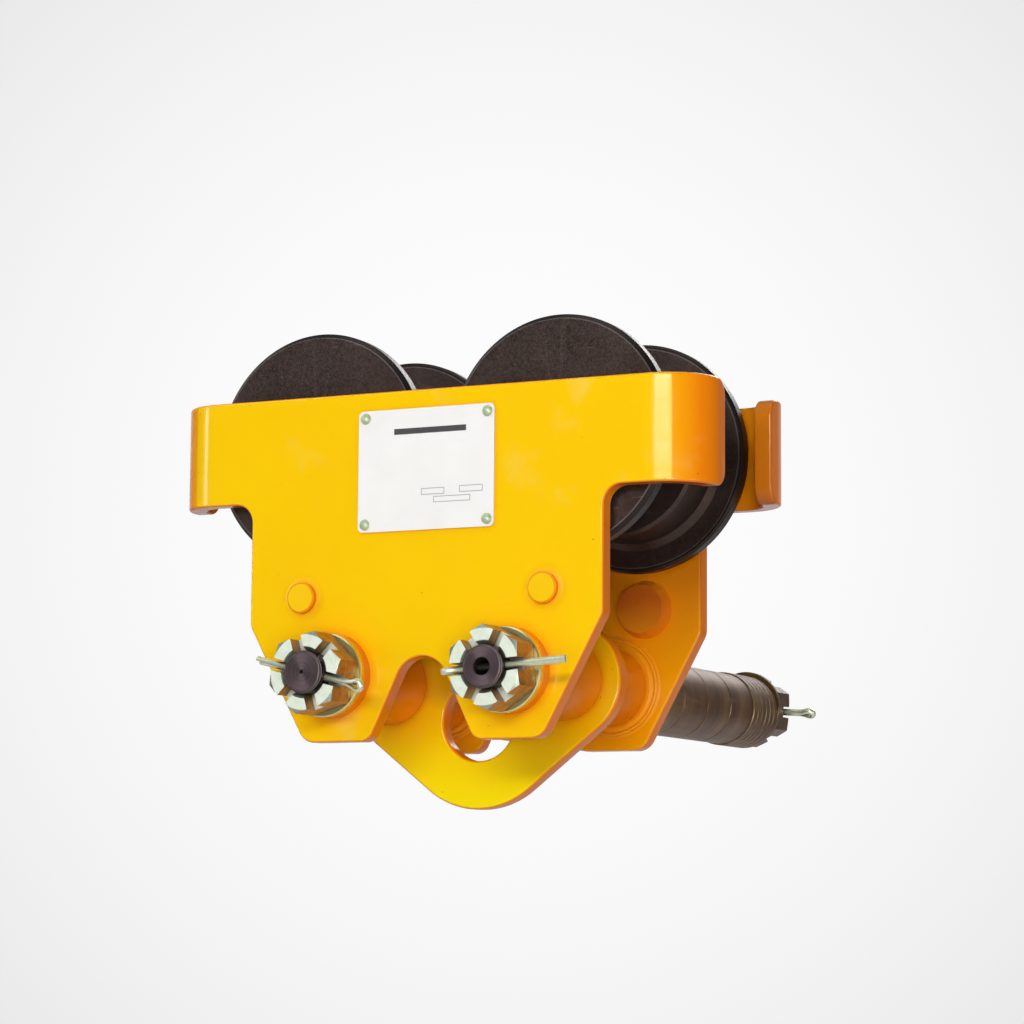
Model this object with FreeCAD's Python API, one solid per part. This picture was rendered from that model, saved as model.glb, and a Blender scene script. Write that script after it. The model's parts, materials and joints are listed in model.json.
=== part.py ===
import FreeCAD, Part
import math
import os

# Plain push trolley for the lower flange of an I-beam, all sizes in millimetres.
# X runs along the beam, Y across it with the front side plate at -Y, and Z is up.
# The origin is on the rolling surface of the beam's lower flange, above the load.
# "Out" means the distance from the trolley's middle plane, on either side of it.

# Beam
BEAM_FLANGE_WIDTH = 75.0
FLANGE_CLEARANCE = 3.0

# Wheels
TREAD_DIAMETER = 85.0
TREAD_WIDTH = 23.5
TREAD_TAPER_DEG = 3.0
TREAD_END_CHAMFER = 1.5
TREAD_ROOT_RADIUS = 3.0
WHEEL_FLANGE_DIAMETER = 112.0
WHEEL_FLANGE_THICKNESS = 8.8
WHEEL_RIM_CHAMFER = 2.2
WHEEL_LIP_RADIUS = 23.0
WHEEL_PLATE_GAP = 2.7
WHEELBASE = 127.0

# Wheel bearings
BEARING_BORE = 25.0
BEARING_OUTSIDE = 52.0
BEARING_WIDTH = 15.0
BEARING_SETBACK = 8.0
BEARING_RING_WALL = 4.15
BEARING_CHAMFER = 0.8
BALL_COUNT = 9
BALL_DIAMETER = 7.5
BALL_CLEARANCE = 0.2
CAGE_WIDTH = 10.6
CAGE_WALL = 2.2
SHIELD_THICKNESS = 0.6
SHIELD_SETBACK = 0.5
SHIELD_RUNNING_GAP = 0.35

# Retaining rings
CIRCLIP_GAP = 4.4
CIRCLIP_LUG_RADIUS = 2.1
CIRCLIP_LUG_HOLE_RADIUS = 0.9
CIRCLIP_EXTRA_WALL = 0.8
AXLE_CLIP_THICKNESS = 1.2
AXLE_CLIP_WALL = 2.4
AXLE_GROOVE_DEPTH = 0.6
BORE_CLIP_THICKNESS = 2.0
BORE_CLIP_WALL = 2.6
BORE_GROOVE_DEPTH = 1.4

# Wheel axles, peened over and ground flush with the outside of the side plates
AXLE_NECK_DIAMETER = 26.0
AXLE_HEAD_DIAMETER = 30.0
AXLE_HEAD_DEPTH = 5.0
AXLE_COLLAR_DIAMETER = 31.0
AXLE_TAIL_LENGTH = 3.6
AXLE_TAIL_CHAMFER = 1.0
AXLE_CENTRE_RADIUS = 1.6
AXLE_CENTRE_DEPTH = 2.5

# Side plates
PLATE_THICKNESS = 9.0
PLATE_WIDTH = 185.0
PLATE_TOP_ABOVE_AXLE = 23.2
PLATE_BOTTOM_BELOW_SHAFT = 30.9
PLATE_EDGE_ROUNDING = 1.2
PLATE_FOOT_OUTER_REACH = 62.1
PLATE_FOOT_INNER_REACH = 27.5
PLATE_TAPER_TOP_ABOVE_SHAFT = 25.1
PLATE_FOOT_OUTER_RADIUS = 9.0
PLATE_FOOT_INNER_RADIUS = 7.0
PLATE_TAPER_RADIUS = 8.0
NOTCH_RADIUS = 13.7
NOTCH_TOP_ABOVE_SHAFT = 8.2
EAR_HEIGHT = 50.0
EAR_WHEEL_CLEARANCE = 10.5
EAR_DEPTH = 33.0
EAR_BEND_RADIUS = 25.0
EAR_END_RADIUS = 8.0
EAR_ROOT_RADIUS = 9.0

# Bushes welded into the side plates for the suspension shafts
BUSH_DIAMETER = 39.6
BUSH_PROUD = 6.4
BUSH_CHAMFER = 0.8
WELD_DIAMETER = 50.0
WELD_HEIGHT = 3.0
WELD_TOP_DIAMETER = 41.0

# Stop studs riveted through the side plates
STUD_SPACING = 126.6
STUD_WHEEL_CLEARANCE = 2.8
STUD_WELD_CLEARANCE = 1.8
STUD_SHANK_DIAMETER = 13.0
STUD_HEAD_BASE_DIAMETER = 28.4
STUD_HEAD_TOP_DIAMETER = 23.6
STUD_HEAD_HEIGHT = 7.0
STUD_RIVET_DIAMETER = 14.4
STUD_RIVET_HEIGHT = 3.4
STUD_RIVET_CHAMFER = 0.7
STUD_RING_DIAMETER = 19.6
STUD_RING_HEIGHT = 0.4

# Suspension shafts
SHAFT_DIAMETER = 20.0
SHAFT_SPACING = 93.0
SHAFT_PROUD = 2.0
SHAFT_CHAMFER = 1.3
SHAFT_DRILL_RADIUS = 4.15
SHAFT_DRILL_DEPTH = 14.0
SHAFT_CENTRE_RADIUS = 1.0
SHAFT_CENTRE_DEPTH = 1.5

# Castle nuts and their washers
NUT_SIDES = 6
NUT_ACROSS_FLATS = 34.0
NUT_HEIGHT = 18.0
NUT_SLOT_WIDTH = 5.8
NUT_SLOT_DEPTH = 8.0
NUT_CHAMFER_DEG = 30.0
NUT_CHAMFER_SHARE = 1.03
NUT_BORE_CHAMFER = 2.0
NUT_PLAY = 0.2
NUT_WASHER_DIAMETER = 39.4
NUT_WASHER_THICKNESS = 3.2
NUT_WASHER_CHAMFER = 0.5

# Split pins; the reaches are from the shaft's axis, and the angles turn from +X towards +Z
PIN_DIAMETER = 3.7
PIN_HOLE_DIAMETER = 4.3
PIN_BELOW_CROWN = 4.0
PIN_LEG_GAP = 0.16
PIN_LEG_STEP = 2.0
PIN_EYE_RADIUS = 1.7
PIN_FLARE_RADIUS = 12.0
FRONT_LEFT_PIN_EYE_REACH = 30.6
FRONT_LEFT_PIN_LEG_REACH = 27.8
FRONT_RIGHT_PIN_EYE_REACH = 23.6
FRONT_RIGHT_PIN_LEG_REACH = 39.4
REAR_LEFT_PIN_EYE_REACH = 29.0
REAR_LEFT_PIN_LEG_REACH = 27.0
REAR_RIGHT_PIN_EYE_REACH = 34.0
REAR_RIGHT_PIN_LEG_REACH = 19.0
PIN_ANGLES = {("left", -1): -14.0, ("right", -1): 184.0, ("left", 1): 12.0, ("right", 1): -4.0}
PIN_EYE_TILTS = {("left", -1): 15.0, ("right", -1): 90.0, ("left", 1): 30.0, ("right", 1): 50.0}

# Spacers and washers on the suspension shafts
SPACER_DIAMETER = 37.8
INNER_SPACER_BORE = 21.0
OUTER_SPACER_DIAMETER = 37.0
OUTER_SPACER_BORE = 24.0
OUTER_SPACER_LENGTH = 30.0
OUTER_SPACER_COUNT = 4
THIN_WASHER_DIAMETER = 38.4
THIN_WASHER_THICKNESS = 5.5
THIN_WASHER_COUNT = 6
SPACER_CHAMFER = 0.6

# Hanger plate, which hangs a little behind the middle
HANGER_THICKNESS = 9.0
HANGER_SETBACK = 2.6
HANGER_PLAY = 1.2
HANGER_BORE = 21.0
HANGER_EYE_RADIUS = 28.0
HANGER_TIP_RADIUS = 43.3
HANGER_TIP_BELOW_SHAFT = 60.7
HOIST_EYE_RADIUS = 19.0
HOIST_EYE_BELOW_SHAFT = 18.6
HANGER_EDGE_ROUNDING = 1.5

# Nameplate and its rivets
NAMEPLATE_WIDTH = 71.4
NAMEPLATE_HEIGHT = 57.5
NAMEPLATE_THICKNESS = 0.8
NAMEPLATE_CORNER_RADIUS = 2.5
NAMEPLATE_CENTRE_X = 1.7
NAMEPLATE_BELOW_PLATE_TOP = 37.8
NAMEPLATE_RIVET_INSET = 3.6
NAMEPLATE_RIVET_HEAD_RADIUS = 2.6
NAMEPLATE_RIVET_HEAD_HEIGHT = 1.7
NAMEPLATE_RIVET_SHANK_RADIUS = 1.5
NAMEPLATE_RIVET_SHANK_LENGTH = 5.0

# Fits: a pressed or welded seat, a bush on a turning shaft, and a piece hung on a shaft
SEAT_GAP = 0.02
BUSH_GAP = 0.08
HANG_GAP = 0.05

# Edges where two faces meet at more than this angle are rounded
SHARP_EDGE_DEG = 30.0

# Places that follow from the sizes above
AXLE_Z = TREAD_DIAMETER / 2
AXLE_X = WHEELBASE / 2
SHAFT_X = SHAFT_SPACING / 2
STUD_X = STUD_SPACING / 2
WHEEL_BOTTOM_Z = AXLE_Z - WHEEL_FLANGE_DIAMETER / 2
STUD_Z = WHEEL_BOTTOM_Z - STUD_WHEEL_CLEARANCE - STUD_HEAD_BASE_DIAMETER / 2
STUD_TO_SHAFT = (STUD_HEAD_BASE_DIAMETER + WELD_DIAMETER) / 2 + STUD_WELD_CLEARANCE
SHAFT_Z = STUD_Z - math.sqrt(STUD_TO_SHAFT ** 2 - (STUD_X - SHAFT_X) ** 2)
PLATE_TOP_Z = AXLE_Z + PLATE_TOP_ABOVE_AXLE
PLATE_BOTTOM_Z = SHAFT_Z - PLATE_BOTTOM_BELOW_SHAFT
EAR_BOTTOM_Z = PLATE_TOP_Z - EAR_HEIGHT
EAR_REACH = AXLE_X + WHEEL_FLANGE_DIAMETER / 2 + EAR_WHEEL_CLEARANCE + PLATE_THICKNESS
BEND_X = EAR_REACH - EAR_BEND_RADIUS
WHEEL_FLANGE_IN = BEAM_FLANGE_WIDTH / 2 + FLANGE_CLEARANCE
WHEEL_OUT = WHEEL_FLANGE_IN + WHEEL_FLANGE_THICKNESS
WHEEL_IN = WHEEL_FLANGE_IN - TREAD_WIDTH
PLATE_IN = WHEEL_OUT + WHEEL_PLATE_GAP
PLATE_OUT = PLATE_IN + PLATE_THICKNESS
BEARING_OUT = WHEEL_OUT - BEARING_SETBACK
BEARING_IN = BEARING_OUT - BEARING_WIDTH
SHAFT_RADIUS = SHAFT_DIAMETER / 2
BUSH_OUT = PLATE_OUT + BUSH_PROUD
BUSH_IN = PLATE_IN - WELD_HEIGHT
HANGER_FRONT = HANGER_SETBACK - HANGER_THICKNESS / 2
HANGER_BACK = HANGER_SETBACK + HANGER_THICKNESS / 2
FRONT_NUT_BASE = BUSH_OUT + NUT_PLAY + NUT_WASHER_THICKNESS
OUTER_SPACERS_OUT = BUSH_OUT + OUTER_SPACER_COUNT * OUTER_SPACER_LENGTH
THIN_WASHERS_OUT = OUTER_SPACERS_OUT + THIN_WASHER_COUNT * THIN_WASHER_THICKNESS
REAR_NUT_BASE = THIN_WASHERS_OUT + NUT_PLAY + NUT_WASHER_THICKNESS
NUT_BASE = {-1: FRONT_NUT_BASE, 1: REAR_NUT_BASE}
PIN_REACHES = {
    ("left", -1): (FRONT_LEFT_PIN_EYE_REACH, FRONT_LEFT_PIN_LEG_REACH),
    ("right", -1): (FRONT_RIGHT_PIN_EYE_REACH, FRONT_RIGHT_PIN_LEG_REACH),
    ("left", 1): (REAR_LEFT_PIN_EYE_REACH, REAR_LEFT_PIN_LEG_REACH),
    ("right", 1): (REAR_RIGHT_PIN_EYE_REACH, REAR_RIGHT_PIN_LEG_REACH),
}
SIDES = {"front": -1, "rear": 1}
ENDS = {"left": -1, "right": 1}


def vec(x, y, z):
    return FreeCAD.Vector(x, y, z)


def lathe(profile, side, x, z):
    """Turned solid about a line along Y, from points given as (radius, out)."""
    points = [vec(radius, side * out, 0) for radius, out in profile]
    face = Part.Face(Part.makePolygon(points + points[:1]))
    solid = face.revolve(vec(0, 0, 0), vec(0, 1, 0), 360)
    solid.translate(vec(x, 0, z))
    return solid


def tube(outer, inner, start, end, side, x, z, chamfer=0.0):
    """Turned ring between two distances out, its outer corners chamfered."""
    profile = [(inner, start), (outer - chamfer, start), (outer, start + chamfer)]
    profile += [(outer, end - chamfer), (outer - chamfer, end), (inner, end)]
    if chamfer == 0:
        profile = [(inner, start), (outer, start), (outer, end), (inner, end)]
    return lathe(profile, side, x, z)


def rod(radius, start, end, side, x, z):
    """Plain cylinder along Y between two distances out."""
    return Part.makeCylinder(radius, end - start, vec(x, side * start, z), vec(0, side, 0))


def corner_arc(before, corner, after, radius):
    """Start, middle and end of the tangent arc that rounds one corner."""
    back = (before - corner).normalize()
    ahead = (after - corner).normalize()
    half_angle = back.getAngle(ahead) / 2
    setback = radius / math.tan(half_angle)
    bisector = (back + ahead).normalize()
    middle = corner + bisector * (radius / math.sin(half_angle) - radius)
    return corner + back * setback, middle, corner + ahead * setback


def rounded_wire(corners):
    """Closed wire through corners given as (point, radius); radius 0 stays sharp."""
    arcs = []
    for index, (corner, radius) in enumerate(corners):
        before = corners[index - 1][0]
        after = corners[(index + 1) % len(corners)][0]
        arcs.append(corner_arc(before, corner, after, radius))
    edges = []
    for index, (start, middle, end) in enumerate(arcs):
        if corners[index][1] > 0:
            edges.append(Part.Arc(start, middle, end).toShape())
        edges.append(Part.LineSegment(end, arcs[(index + 1) % len(arcs)][0]).toShape())
    return Part.Wire(edges)


def prism(wire, travel):
    return Part.Face(wire).extrude(travel)


def turned(shape, angle, x, z):
    """The shape turned about a line along Y, from +X towards +Z."""
    shape.rotate(vec(x, 0, z), vec(0, -1, 0), angle)
    return shape


def is_sharp(edge, shape):
    """True where the two faces at an edge meet at a clear angle."""
    faces = shape.ancestorsOfType(edge, Part.Face)
    middle = edge.valueAt((edge.FirstParameter + edge.LastParameter) / 2)
    normals = [face.normalAt(*face.Surface.parameter(middle)) for face in faces]
    return len(faces) == 2 and normals[0].getAngle(normals[1]) > math.radians(SHARP_EDGE_DEG)


def soften(shape, radius):
    """Round every sharp edge of a plate."""
    return shape.makeFillet(radius, [edge for edge in shape.Edges if is_sharp(edge, shape)])


def notch_apex_height():
    """Height above the plate's foot at which the two slanted legs would meet."""
    rise = NOTCH_TOP_ABOVE_SHAFT - NOTCH_RADIUS + PLATE_BOTTOM_BELOW_SHAFT
    reach = math.hypot(PLATE_FOOT_INNER_REACH, rise)
    lean = math.atan2(PLATE_FOOT_INNER_REACH, rise) - math.asin(NOTCH_RADIUS / reach)
    return PLATE_FOOT_INNER_REACH / math.tan(lean)


def plate_outline(y):
    """Flat part of a side plate: two slanted legs, the body and the roots of the ears."""
    half = [
        (BEND_X, PLATE_TOP_Z, 0),
        (BEND_X, EAR_BOTTOM_Z, 0),
        (PLATE_WIDTH / 2, EAR_BOTTOM_Z, EAR_ROOT_RADIUS),
        (PLATE_WIDTH / 2, SHAFT_Z + PLATE_TAPER_TOP_ABOVE_SHAFT, PLATE_TAPER_RADIUS),
        (PLATE_FOOT_OUTER_REACH, PLATE_BOTTOM_Z, PLATE_FOOT_OUTER_RADIUS),
        (PLATE_FOOT_INNER_REACH, PLATE_BOTTOM_Z, PLATE_FOOT_INNER_RADIUS),
    ]
    apex = (vec(0, y, PLATE_BOTTOM_Z + notch_apex_height()), NOTCH_RADIUS)
    right = [(vec(x, y, z), radius) for x, z, radius in half]
    left = [(vec(-x, y, z), radius) for x, z, radius in reversed(half)]
    return rounded_wire(right + [apex] + left)


def ear(side, end):
    """Ear bent in from the side plate to guard a wheel, its end corners rounded."""
    inner_radius = EAR_BEND_RADIUS - PLATE_THICKNESS
    centre_y = side * (PLATE_OUT - EAR_BEND_RADIUS)
    tip_y = side * (PLATE_OUT - EAR_DEPTH)

    def arc_point(radius, angle):
        reach = BEND_X + radius * math.sin(angle)
        return vec(end * reach, centre_y + side * radius * math.cos(angle), EAR_BOTTOM_Z)

    half_bend = math.pi / 4
    full_bend = math.pi / 2
    outer = [arc_point(EAR_BEND_RADIUS, angle) for angle in (0, half_bend, full_bend)]
    inner = [arc_point(inner_radius, angle) for angle in (full_bend, half_bend, 0)]
    tip_outer = vec(outer[2].x, tip_y, EAR_BOTTOM_Z)
    tip_inner = vec(inner[0].x, tip_y, EAR_BOTTOM_Z)
    edges = [
        Part.Arc(*outer).toShape(),
        Part.LineSegment(outer[2], tip_outer).toShape(),
        Part.LineSegment(tip_outer, tip_inner).toShape(),
        Part.LineSegment(tip_inner, inner[0]).toShape(),
        Part.Arc(*inner).toShape(),
        Part.LineSegment(inner[2], outer[0]).toShape(),
    ]
    strip = prism(Part.Wire(edges), vec(0, 0, EAR_HEIGHT))
    start_y = side * PLATE_OUT
    frame = rounded_wire([
        (vec(0, start_y, EAR_BOTTOM_Z), 0),
        (vec(0, start_y, PLATE_TOP_Z), 0),
        (vec(0, tip_y, PLATE_TOP_Z), EAR_END_RADIUS),
        (vec(0, tip_y, EAR_BOTTOM_Z), EAR_END_RADIUS),
    ])
    return strip.common(prism(frame, vec(end * EAR_REACH, 0, 0)))


def axle_hole(side, x):
    """Countersunk hole that the axle's neck and peened head fill."""
    neck = AXLE_NECK_DIAMETER / 2 + SEAT_GAP
    head = AXLE_HEAD_DIAMETER / 2 + SEAT_GAP
    profile = [(0, PLATE_IN), (neck, PLATE_IN), (neck, PLATE_OUT - AXLE_HEAD_DEPTH)]
    profile += [(head, PLATE_OUT), (0, PLATE_OUT)]
    return lathe(profile, side, x, AXLE_Z)


def rivet_centres():
    """Centres of the four nameplate rivets, as (x, z)."""
    reach_x = NAMEPLATE_WIDTH / 2 - NAMEPLATE_RIVET_INSET
    reach_z = NAMEPLATE_HEIGHT / 2 - NAMEPLATE_RIVET_INSET
    centre_z = PLATE_TOP_Z - NAMEPLATE_BELOW_PLATE_TOP
    corners = [(-1, -1), (-1, 1), (1, -1), (1, 1)]
    return [(NAMEPLATE_CENTRE_X + i * reach_x, centre_z + j * reach_z) for i, j in corners]


def side_plate(side):
    plate = prism(plate_outline(side * PLATE_IN), vec(0, side * PLATE_THICKNESS, 0))
    plate = plate.fuse([ear(side, -1), ear(side, 1)]).removeSplitter()
    plate = soften(plate, PLATE_EDGE_ROUNDING)
    holes = []
    for end in ENDS.values():
        bush_hole = BUSH_DIAMETER / 2 + SEAT_GAP
        stud_hole = STUD_SHANK_DIAMETER / 2 + SEAT_GAP
        holes.append(rod(bush_hole, PLATE_IN, PLATE_OUT, side, end * SHAFT_X, SHAFT_Z))
        holes.append(rod(stud_hole, PLATE_IN, PLATE_OUT, side, end * STUD_X, STUD_Z))
        holes.append(axle_hole(side, end * AXLE_X))
    if side == SIDES["front"]:
        depth = PLATE_OUT - NAMEPLATE_RIVET_SHANK_LENGTH
        radius = NAMEPLATE_RIVET_SHANK_RADIUS + SEAT_GAP
        holes += [rod(radius, depth, PLATE_OUT, side, x, z) for x, z in rivet_centres()]
    return plate.cut(holes)


def shaft_bush(side, end):
    """Bush through the side plate, with the weld that holds it on the inside."""
    bore = SHAFT_RADIUS + BUSH_GAP
    radius = BUSH_DIAMETER / 2
    profile = [(bore, BUSH_IN), (WELD_TOP_DIAMETER / 2, BUSH_IN), (WELD_DIAMETER / 2, PLATE_IN)]
    profile += [(radius, PLATE_IN), (radius, BUSH_OUT - BUSH_CHAMFER)]
    profile += [(radius - BUSH_CHAMFER, BUSH_OUT), (bore, BUSH_OUT)]
    return lathe(profile, side, end * SHAFT_X, SHAFT_Z)


def stop_stud(side, end):
    """Stud with a head inside the plate and a flat rivet end outside it."""
    head_in = PLATE_IN - STUD_HEAD_HEIGHT
    ring_out = PLATE_OUT + STUD_RING_HEIGHT
    rivet_out = PLATE_OUT + STUD_RIVET_HEIGHT
    rivet = STUD_RIVET_DIAMETER / 2
    profile = [(0, head_in), (STUD_HEAD_TOP_DIAMETER / 2, head_in)]
    profile += [(STUD_HEAD_BASE_DIAMETER / 2, PLATE_IN), (STUD_SHANK_DIAMETER / 2, PLATE_IN)]
    profile += [(STUD_SHANK_DIAMETER / 2, PLATE_OUT), (STUD_RING_DIAMETER / 2, PLATE_OUT)]
    profile += [(rivet, ring_out), (rivet, rivet_out - STUD_RIVET_CHAMFER)]
    profile += [(rivet - STUD_RIVET_CHAMFER, rivet_out), (0, rivet_out)]
    return lathe(profile, side, end * STUD_X, STUD_Z)


def nameplate():
    half_width = NAMEPLATE_WIDTH / 2
    half_height = NAMEPLATE_HEIGHT / 2
    centre_z = PLATE_TOP_Z - NAMEPLATE_BELOW_PLATE_TOP
    corners = [(-1, -1), (1, -1), (1, 1), (-1, 1)]
    points = []
    for i, j in corners:
        point = vec(NAMEPLATE_CENTRE_X + i * half_width, -PLATE_OUT, centre_z + j * half_height)
        points.append((point, NAMEPLATE_CORNER_RADIUS))
    wire = rounded_wire(points)
    sheet = prism(wire, vec(0, -NAMEPLATE_THICKNESS, 0))
    radius = NAMEPLATE_RIVET_SHANK_RADIUS + SEAT_GAP
    face_out = PLATE_OUT + NAMEPLATE_THICKNESS
    return sheet.cut([rod(radius, PLATE_OUT, face_out, -1, x, z) for x, z in rivet_centres()])


def nameplate_rivet(x, z):
    """Drive rivet with a domed head."""
    base = PLATE_OUT + NAMEPLATE_THICKNESS
    rise = NAMEPLATE_RIVET_HEAD_HEIGHT
    dome_radius = (NAMEPLATE_RIVET_HEAD_RADIUS ** 2 + rise ** 2) / (2 * rise)
    dome = Part.makeSphere(dome_radius, vec(x, -(base + rise - dome_radius), z))
    head = dome.common(rod(NAMEPLATE_RIVET_HEAD_RADIUS, base, base + rise, -1, x, z))
    shank_in = PLATE_OUT - NAMEPLATE_RIVET_SHANK_LENGTH
    return head.fuse(rod(NAMEPLATE_RIVET_SHANK_RADIUS, shank_in, base, -1, x, z))


def wheel(side, end):
    """Flanged wheel with a tapered tread, bored from the web side for its bearing."""
    tread = TREAD_DIAMETER / 2
    flange = WHEEL_FLANGE_DIAMETER / 2
    bore = BEARING_OUTSIDE / 2 + SEAT_GAP
    groove = bore + BORE_GROOVE_DEPTH
    tread_end = tread - TREAD_WIDTH * math.tan(math.radians(TREAD_TAPER_DEG))
    groove_in = BEARING_IN - BORE_CLIP_THICKNESS - SEAT_GAP
    root_in = WHEEL_FLANGE_IN - TREAD_ROOT_RADIUS
    profile = [
        (WHEEL_LIP_RADIUS, WHEEL_OUT),
        (flange - WHEEL_RIM_CHAMFER, WHEEL_OUT),
        (flange, WHEEL_OUT - WHEEL_RIM_CHAMFER),
        (flange, WHEEL_FLANGE_IN + WHEEL_RIM_CHAMFER / 2),
        (flange - WHEEL_RIM_CHAMFER / 2, WHEEL_FLANGE_IN),
        (tread + TREAD_ROOT_RADIUS, WHEEL_FLANGE_IN),
        (tread, root_in),
        (tread_end, WHEEL_IN + TREAD_END_CHAMFER),
        (tread_end - TREAD_END_CHAMFER, WHEEL_IN),
        (bore, WHEEL_IN),
        (bore, groove_in),
        (groove, groove_in),
        (groove, BEARING_IN),
        (bore, BEARING_IN),
        (bore, BEARING_OUT),
        (WHEEL_LIP_RADIUS, BEARING_OUT),
    ]
    return lathe(profile, side, end * AXLE_X, AXLE_Z)


def axle(side, end):
    """Axle peened into the side plate, with a collar and a seat for the bearing."""
    seat = BEARING_BORE / 2 - SEAT_GAP
    groove = seat - AXLE_GROOVE_DEPTH
    groove_in = BEARING_IN - AXLE_CLIP_THICKNESS - SEAT_GAP
    tail_in = groove_in - AXLE_TAIL_LENGTH
    neck = AXLE_NECK_DIAMETER / 2
    profile = [
        (0, PLATE_OUT),
        (AXLE_HEAD_DIAMETER / 2, PLATE_OUT),
        (neck, PLATE_OUT - AXLE_HEAD_DEPTH),
        (neck, PLATE_IN),
        (AXLE_COLLAR_DIAMETER / 2, PLATE_IN),
        (AXLE_COLLAR_DIAMETER / 2, BEARING_OUT),
        (seat, BEARING_OUT),
        (seat, BEARING_IN),
        (groove, BEARING_IN),
        (groove, groove_in),
        (seat, groove_in),
        (seat, tail_in + AXLE_TAIL_CHAMFER),
        (seat - AXLE_TAIL_CHAMFER, tail_in),
        (AXLE_CENTRE_RADIUS, tail_in),
        (0, tail_in + AXLE_CENTRE_DEPTH),
    ]
    return lathe(profile, side, end * AXLE_X, AXLE_Z)


def ball_pitch_radius():
    return (BEARING_BORE + BEARING_OUTSIDE) / 4


def race_groove(side, end):
    """Ring that both races are hollowed by, a little larger than the balls."""
    middle = side * (BEARING_OUT + BEARING_IN) / 2
    centre = vec(end * AXLE_X, middle, AXLE_Z)
    return Part.makeTorus(ball_pitch_radius(), BALL_DIAMETER / 2 + BALL_CLEARANCE, centre, vec(0, 1, 0))


def bearing_inner_ring(side, end):
    bore = BEARING_BORE / 2
    ring = tube(bore + BEARING_RING_WALL, bore, BEARING_IN, BEARING_OUT, side, end * AXLE_X, AXLE_Z)
    return ring.cut(race_groove(side, end))


def bearing_outer_ring(side, end):
    outer = BEARING_OUTSIDE / 2
    inner = outer - BEARING_RING_WALL
    ring = tube(outer, inner, BEARING_IN, BEARING_OUT, side, end * AXLE_X, AXLE_Z, BEARING_CHAMFER)
    return ring.cut(race_groove(side, end))


def ball_centres(side, end):
    middle = side * (BEARING_OUT + BEARING_IN) / 2
    pitch = ball_pitch_radius()
    steps = [2 * math.pi * index / BALL_COUNT for index in range(BALL_COUNT)]
    return [vec(end * AXLE_X + pitch * math.sin(a), middle, AXLE_Z + pitch * math.cos(a)) for a in steps]


def bearing_balls(side, end):
    balls = [Part.makeSphere(BALL_DIAMETER / 2, centre) for centre in ball_centres(side, end)]
    return Part.makeCompound(balls)


def bearing_cage(side, end):
    """Ring with a round pocket drilled through it for each ball."""
    middle = (BEARING_OUT + BEARING_IN) / 2
    outer = ball_pitch_radius() + CAGE_WALL / 2
    start = middle - CAGE_WIDTH / 2
    ring = tube(outer, outer - CAGE_WALL, start, start + CAGE_WIDTH, side, end * AXLE_X, AXLE_Z)
    hub = vec(end * AXLE_X, side * middle, AXLE_Z)
    pocket = BALL_DIAMETER / 2 + BALL_CLEARANCE
    directions = [centre - hub for centre in ball_centres(side, end)]
    return ring.cut([Part.makeCylinder(pocket, 2 * outer, hub, way) for way in directions])


def bearing_shields(side, end):
    """Thin covers on both faces of the bearing, held in the outer ring."""
    outer = BEARING_OUTSIDE / 2 - BEARING_RING_WALL - SEAT_GAP
    inner = BEARING_BORE / 2 + BEARING_RING_WALL + SHIELD_RUNNING_GAP
    starts = [BEARING_IN + SHIELD_SETBACK, BEARING_OUT - SHIELD_SETBACK - SHIELD_THICKNESS]
    x = end * AXLE_X
    shields = [tube(outer, inner, start, start + SHIELD_THICKNESS, side, x, AXLE_Z) for start in starts]
    return Part.makeCompound(shields)


def circlip(groove_radius, wall, reach, start, thickness, side, end):
    """Snap ring; reach is 1 on an axle and -1 in a bore. It is thickest across from its gap."""
    x = end * AXLE_X
    free_radius = groove_radius + reach * wall
    shift = vec(0, 0, -reach * CIRCLIP_EXTRA_WALL / 2)
    free = rod(free_radius + reach * CIRCLIP_EXTRA_WALL / 2, start, start + thickness, side, x, AXLE_Z)
    free.translate(shift)
    seated = rod(groove_radius, start, start + thickness, side, x, AXLE_Z)
    ring = free.cut(seated) if reach > 0 else seated.cut(free)
    lug_z = AXLE_Z + reach * (groove_radius + reach * CIRCLIP_LUG_RADIUS)
    lug_x = CIRCLIP_GAP / 2 + CIRCLIP_LUG_RADIUS
    lugs = [rod(CIRCLIP_LUG_RADIUS, start, start + thickness, side, x + i * lug_x, lug_z) for i in (-1, 1)]
    ring = ring.fuse(lugs)
    ring = ring.cut(seated) if reach > 0 else ring.common(seated)
    holes = [
        rod(CIRCLIP_LUG_HOLE_RADIUS, start, start + thickness, side, x + i * lug_x, lug_z)
        for i in (-1, 1)
    ]
    gap_height = wall + 3 * CIRCLIP_LUG_RADIUS
    low_z = AXLE_Z + reach * groove_radius - gap_height
    low_y = min(side * start, side * (start + thickness))
    gap = Part.makeBox(CIRCLIP_GAP, thickness, 2 * gap_height, vec(x - CIRCLIP_GAP / 2, low_y, low_z))
    return ring.cut(holes + [gap])


def axle_circlip(side, end):
    groove = BEARING_BORE / 2 - AXLE_GROOVE_DEPTH
    start = BEARING_IN - AXLE_CLIP_THICKNESS - SEAT_GAP / 2
    return circlip(groove, AXLE_CLIP_WALL, 1, start, AXLE_CLIP_THICKNESS, side, end)


def bore_circlip(side, end):
    groove = BEARING_OUTSIDE / 2 + BORE_GROOVE_DEPTH
    start = BEARING_IN - BORE_CLIP_THICKNESS - SEAT_GAP / 2
    return circlip(groove, BORE_CLIP_WALL, -1, start, BORE_CLIP_THICKNESS, side, end)


def pin_out(side):
    """Distance out at which a split pin crosses its shaft."""
    return NUT_BASE[side] + NUT_HEIGHT - PIN_BELOW_CROWN


def pin_hole(side, end, angle):
    length = 2 * SHAFT_DIAMETER
    start = vec(end * SHAFT_X - length / 2, side * pin_out(side), SHAFT_Z)
    hole = Part.makeCylinder(PIN_HOLE_DIAMETER / 2, length, start, vec(1, 0, 0))
    return turned(hole, angle, end * SHAFT_X, SHAFT_Z)


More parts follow.
